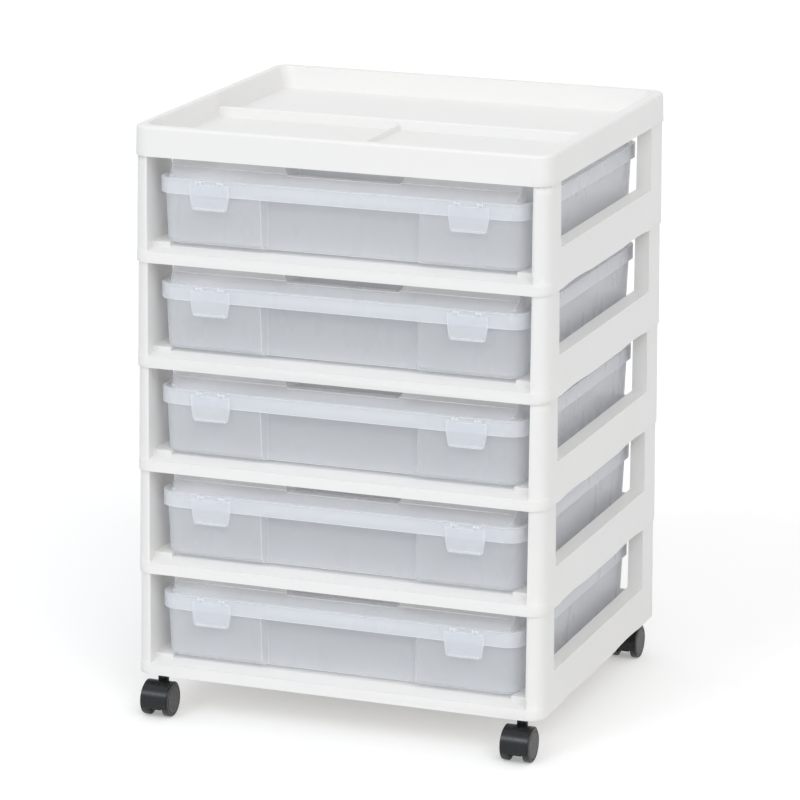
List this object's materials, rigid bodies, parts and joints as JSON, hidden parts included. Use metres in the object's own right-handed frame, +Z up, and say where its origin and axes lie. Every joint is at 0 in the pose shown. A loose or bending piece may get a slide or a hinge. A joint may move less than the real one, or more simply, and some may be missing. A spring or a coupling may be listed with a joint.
{
  "type": "storage_drawer_tower",
  "caption": "White plastic rolling tower: stacked frames with slide-out lidded clear cases, two flip latches each, an open tray on top and swivelling twin-wheel casters.",
  "frame": {"origin": "on the floor, midway across the tower and midway between its foremost and rearmost points", "axes": "+Z up, the front with the latches faces -Y, +X to the right seen from the front"},
  "size_m": [0.39, 0.3624, 0.5468],
  "materials": {
    "white_plastic": "satin moulded polypropylene",
    "clear_plastic": "frosted translucent polypropylene",
    "black_plastic": "glossy moulded nylon, dusty on the discs",
    "steel": "turned bright steel"
  },
  "bodies": {
    "tower": {"organizer_top": "white_plastic", "tier_frame_1": "white_plastic", "tier_frame_2": "white_plastic", "tier_frame_3": "white_plastic", "tier_frame_4": "white_plastic", "tier_frame_5": "white_plastic", "caster_stem_fl": "steel", "caster_stem_fr": "steel", "caster_stem_bl": "steel", "caster_stem_br": "steel"},
    "case_1": {"case_base_1": "clear_plastic", "case_lid_1": "clear_plastic"},
    "case_2": {"case_base_2": "clear_plastic", "case_lid_2": "clear_plastic"},
    "case_3": {"case_base_3": "clear_plastic", "case_lid_3": "clear_plastic"},
    "case_4": {"case_base_4": "clear_plastic", "case_lid_4": "clear_plastic"},
    "case_5": {"case_base_5": "clear_plastic", "case_lid_5": "clear_plastic"},
    "latch_l_1": {"latch_left_1": "clear_plastic"},
    "latch_r_1": {"latch_right_1": "clear_plastic"},
    "latch_l_2": {"latch_left_2": "clear_plastic"},
    "latch_r_2": {"latch_right_2": "clear_plastic"},
    "latch_l_3": {"latch_left_3": "clear_plastic"},
    "latch_r_3": {"latch_right_3": "clear_plastic"},
    "latch_l_4": {"latch_left_4": "clear_plastic"},
    "latch_r_4": {"latch_right_4": "clear_plastic"},
    "latch_l_5": {"latch_left_5": "clear_plastic"},
    "latch_r_5": {"latch_right_5": "clear_plastic"},
    "caster_fl": {"caster_hood_fl": "black_plastic", "caster_axle_fl": "steel"},
    "caster_fr": {"caster_hood_fr": "black_plastic", "caster_axle_fr": "steel"},
    "caster_bl": {"caster_hood_bl": "black_plastic", "caster_axle_bl": "steel"},
    "caster_br": {"caster_hood_br": "black_plastic", "caster_axle_br": "steel"},
    "wheel_l_fl": {"wheel_left_fl": "black_plastic"},
    "wheel_r_fl": {"wheel_right_fl": "black_plastic"},
    "wheel_l_fr": {"wheel_left_fr": "black_plastic"},
    "wheel_r_fr": {"wheel_right_fr": "black_plastic"},
    "wheel_l_bl": {"wheel_left_bl": "black_plastic"},
    "wheel_r_bl": {"wheel_right_bl": "black_plastic"},
    "wheel_l_br": {"wheel_left_br": "black_plastic"},
    "wheel_r_br": {"wheel_right_br": "black_plastic"}
  },
  "joints": [
    {"name": "case_1_slide", "type": "slide", "parent": "tower", "child": "case_1", "axis": [0, -1, 0], "range_m": [0, 0.345]},
    {"name": "case_2_slide", "type": "slide", "parent": "tower", "child": "case_2", "axis": [0, -1, 0], "range_m": [0, 0.345]},
    {"name": "case_3_slide", "type": "slide", "parent": "tower", "child": "case_3", "axis": [0, -1, 0], "range_m": [0, 0.345]},
    {"name": "case_4_slide", "type": "slide", "parent": "tower", "child": "case_4", "axis": [0, -1, 0], "range_m": [0, 0.345]},
    {"name": "case_5_slide", "type": "slide", "parent": "tower", "child": "case_5", "axis": [0, -1, 0], "range_m": [0, 0.345]},
    {"name": "latch_l_1_hinge", "type": "hinge", "parent": "case_1", "child": "latch_l_1", "pos_m": [-0.121, -0.16647, 0.1148], "axis": [-1, 0, 0], "range_deg": [0, 100]},
    {"name": "latch_r_1_hinge", "type": "hinge", "parent": "case_1", "child": "latch_r_1", "pos_m": [0.121, -0.16647, 0.1148], "axis": [-1, 0, 0], "range_deg": [0, 100]},
    {"name": "latch_l_2_hinge", "type": "hinge", "parent": "case_2", "child": "latch_l_2", "pos_m": [-0.121, -0.16647, 0.2109], "axis": [-1, 0, 0], "range_deg": [0, 100]},
    {"name": "latch_r_2_hinge", "type": "hinge", "parent": "case_2", "child": "latch_r_2", "pos_m": [0.121, -0.16647, 0.2109], "axis": [-1, 0, 0], "range_deg": [0, 100]},
    {"name": "latch_l_3_hinge", "type": "hinge", "parent": "case_3", "child": "latch_l_3", "pos_m": [-0.121, -0.16647, 0.307], "axis": [-1, 0, 0], "range_deg": [0, 100]},
    {"name": "latch_r_3_hinge", "type": "hinge", "parent": "case_3", "child": "latch_r_3", "pos_m": [0.121, -0.16647, 0.307], "axis": [-1, 0, 0], "range_deg": [0, 100]},
    {"name": "latch_l_4_hinge", "type": "hinge", "parent": "case_4", "child": "latch_l_4", "pos_m": [-0.121, -0.16647, 0.4031], "axis": [-1, 0, 0], "range_deg": [0, 100]},
    {"name": "latch_r_4_hinge", "type": "hinge", "parent": "case_4", "child": "latch_r_4", "pos_m": [0.121, -0.16647, 0.4031], "axis": [-1, 0, 0], "range_deg": [0, 100]},
    {"name": "latch_l_5_hinge", "type": "hinge", "parent": "case_5", "child": "latch_l_5", "pos_m": [-0.121, -0.16647, 0.4992], "axis": [-1, 0, 0], "range_deg": [0, 100]},
    {"name": "latch_r_5_hinge", "type": "hinge", "parent": "case_5", "child": "latch_r_5", "pos_m": [0.121, -0.16647, 0.4992], "axis": [-1, 0, 0], "range_deg": [0, 100]},
    {"name": "caster_fl_swivel", "type": "hinge", "parent": "tower", "child": "caster_fl", "pos_m": [-0.1732, -0.15598, 0.0393], "axis": [0, 0, 1], "continuous": true},
    {"name": "caster_fr_swivel", "type": "hinge", "parent": "tower", "child": "caster_fr", "pos_m": [0.1732, -0.15598, 0.0393], "axis": [0, 0, 1], "continuous": true},
    {"name": "caster_bl_swivel", "type": "hinge", "parent": "tower", "child": "caster_bl", "pos_m": [-0.1732, 0.16642, 0.0393], "axis": [0, 0, 1], "continuous": true},
    {"name": "caster_br_swivel", "type": "hinge", "parent": "tower", "child": "caster_br", "pos_m": [0.1732, 0.16642, 0.0393], "axis": [0, 0, 1], "continuous": true},
    {"name": "wheel_l_fl_spin", "type": "hinge", "parent": "caster_fl", "child": "wheel_l_fl", "pos_m": [-0.1732, -0.16447, 0.0155], "axis": [1, 0, 0], "continuous": true},
    {"name": "wheel_r_fl_spin", "type": "hinge", "parent": "caster_fl", "child": "wheel_r_fl", "pos_m": [-0.1732, -0.16447, 0.0155], "axis": [1, 0, 0], "continuous": true},
    {"name": "wheel_l_fr_spin", "type": "hinge", "parent": "caster_fr", "child": "wheel_l_fr", "pos_m": [0.1732, -0.16447, 0.0155], "axis": [1, 0, 0], "continuous": true},
    {"name": "wheel_r_fr_spin", "type": "hinge", "parent": "caster_fr", "child": "wheel_r_fr", "pos_m": [0.1732, -0.16447, 0.0155], "axis": [1, 0, 0], "continuous": true},
    {"name": "wheel_l_bl_spin", "type": "hinge", "parent": "caster_bl", "child": "wheel_l_bl", "pos_m": [-0.1732, 0.15792, 0.0155], "axis": [1, 0, 0], "continuous": true},
    {"name": "wheel_r_bl_spin", "type": "hinge", "parent": "caster_bl", "child": "wheel_r_bl", "pos_m": [-0.1732, 0.15792, 0.0155], "axis": [1, 0, 0], "continuous": true},
    {"name": "wheel_l_br_spin", "type": "hinge", "parent": "caster_br", "child": "wheel_l_br", "pos_m": [0.1732, 0.15792, 0.0155], "axis": [1, 0, 0], "continuous": true},
    {"name": "wheel_r_br_spin", "type": "hinge", "parent": "caster_br", "child": "wheel_r_br", "pos_m": [0.1732, 0.15792, 0.0155], "axis": [1, 0, 0], "continuous": true}
  ]
}
